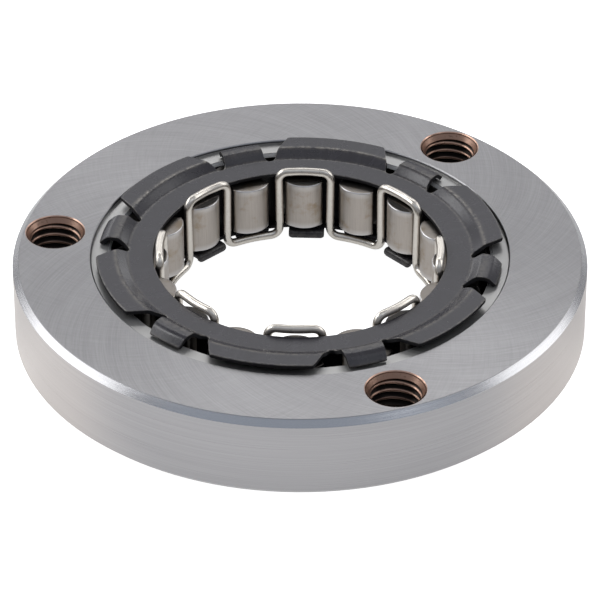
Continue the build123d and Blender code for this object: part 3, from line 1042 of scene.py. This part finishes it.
class CLUTCH_OT_ring(bpy.types.Operator):
    """Finishes the outer ring and puts the thread turns into its holes"""

    bl_idname = "clutch.ring"
    bl_label = "Outer ring"

    def execute(self, context):
        ring = context.scene.clutch_ring
        finish = ground_steel(ring)
        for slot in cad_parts["outer_ring"].material_slots:
            slot.material = finish
        copper = coppered_thread(ring)
        for number in range(3):
            made = make_thread(number, ring)
            paint(made, copper)
            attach(made, "ring")
        return {"FINISHED"}


class CLUTCH_OT_cage(bpy.types.Operator):
    """Builds the cage: flange and tabs, windowed drum and hooks"""

    bl_idname = "clutch.cage"
    bl_label = "Cage"

    def execute(self, context):
        cage, sprags = context.scene.clutch_cage, context.scene.clutch_sprags
        # The drum's and the hooks' shares under 1 darken their oxide as painted shade
        pieces = (
            (make_flange(cage), "black_oxide_sheet", 1.0),
            (make_drum(cage, sprags), "black_oxide_drum_painted_shade", 0.25),
            (make_hooks(cage, sprags), "black_oxide_hooks_painted_shade", 0.7),
        )
        for made, name, share in pieces:
            paint(made, black_oxide(cage, name, share))
            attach(made, "cage")
            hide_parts("cage")
        return {"FINISHED"}


class CLUTCH_OT_sprags(bpy.types.Operator):
    """Builds the sprags"""

    bl_idname = "clutch.sprags"
    bl_label = "Sprags"

    def execute(self, context):
        sprags = context.scene.clutch_sprags
        finish = sprag_steel(sprags)
        for number in range(sprags.count):
            body = f"sprag_{number + 1:02d}"
            made = make_sprag(number, sprags)
            paint(made, finish)
            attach(made, body)
            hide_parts(body)
        return {"FINISHED"}


class CLUTCH_OT_spring(bpy.types.Operator):
    """Builds the meander spring"""

    bl_idname = "clutch.spring"
    bl_label = "Spring"

    def execute(self, context):
        made = make_spring(context.scene.clutch_spring, context.scene.clutch_sprags)
        paint(made, drawn_wire(context.scene.clutch_spring))
        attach(made, "cage")
        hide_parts("meander_spring")
        return {"FINISHED"}


class CLUTCH_OT_studio(bpy.types.Operator):
    """Sets up the floor, the lights, the room and the camera"""

    bl_idname = "clutch.studio"
    bl_label = "Studio"

    def execute(self, context):
        studio, scene = context.scene.clutch_studio, context.scene
        half = 3 / MM
        plane = np.array([(-half, -half, 0), (half, -half, 0), (half, half, 0), (-half, half, 0)])
        floor = skin("floor", plane - [0, 0, FLOOR_GAP], [[0, 1, 2, 3]], smooth=False)
        paint(floor, pale_floor(studio))

        for name, place, size, radiance, colour in LAMPS:
            light = bpy.data.lights.new(name, "AREA")
            light.shape, light.color = "RECTANGLE", colour
            light.size, light.size_y = size
            light.energy = radiance * studio.key * math.pi * size[0] * size[1]
            lamp = placed(name, light)
            lamp.location = place
            lamp.rotation_euler = (-Vector(place)).to_track_quat("-Z", "Y").to_euler()

        room = bpy.data.worlds.new("room")
        room.use_nodes = True
        background = room.node_tree.nodes["Background"].inputs
        background["Color"].default_value = (*ROOM, 1)
        background["Strength"].default_value = studio.sky
        scene.world = room

        view = bpy.data.cameras.new("camera")
        view.lens = studio.lens
        view.clip_end = 20
        camera = placed("camera", view)
        rise = math.radians(studio.elevation)
        camera.location = (0, -studio.distance * math.cos(rise), TOP * MM + studio.distance * math.sin(rise))
        camera.rotation_euler = (math.pi / 2 - rise - math.radians(studio.tilt), 0, 0)
        scene.camera = camera
        scene.view_settings.view_transform = "Standard"
        return {"FINISHED"}


class CLUTCH_PT_panel(bpy.types.Panel):
    """The clutch's buttons and settings"""

    bl_idname = "CLUTCH_PT_panel"
    bl_label = "Sprag clutch"
    bl_space_type = "VIEW_3D"
    bl_region_type = "UI"
    bl_category = "Clutch"

    def draw(self, context):
        for operator in OPERATORS:
            self.layout.operator(operator.bl_idname)
        for name, settings in SETTINGS.items():
            box = self.layout.box()
            for key in settings.__annotations__:
                box.prop(getattr(context.scene, name), key)


SETTINGS = {
    "clutch_ring": RingSettings,
    "clutch_cage": CageSettings,
    "clutch_sprags": SpragSettings,
    "clutch_spring": SpringSettings,
    "clutch_studio": StudioSettings,
}
OPERATORS = (
    CLUTCH_OT_groups,
    CLUTCH_OT_ring,
    CLUTCH_OT_cage,
    CLUTCH_OT_sprags,
    CLUTCH_OT_spring,
    CLUTCH_OT_studio,
)


def register():
    for settings in SETTINGS.values():
        bpy.utils.register_class(settings)
    for name, settings in SETTINGS.items():
        setattr(bpy.types.Scene, name, PointerProperty(type=settings))
    for made in (*OPERATORS, CLUTCH_PT_panel):
        bpy.utils.register_class(made)


def unregister():
    for made in (CLUTCH_PT_panel, *reversed(OPERATORS)):
        bpy.utils.unregister_class(made)
    for name, settings in SETTINGS.items():
        delattr(bpy.types.Scene, name)
        bpy.utils.unregister_class(settings)


def main():
    register()
    for operator in OPERATORS:
        family, name = operator.bl_idname.split(".")
        getattr(getattr(bpy.ops, family), name)()


if __name__ == "__main__":
    main()
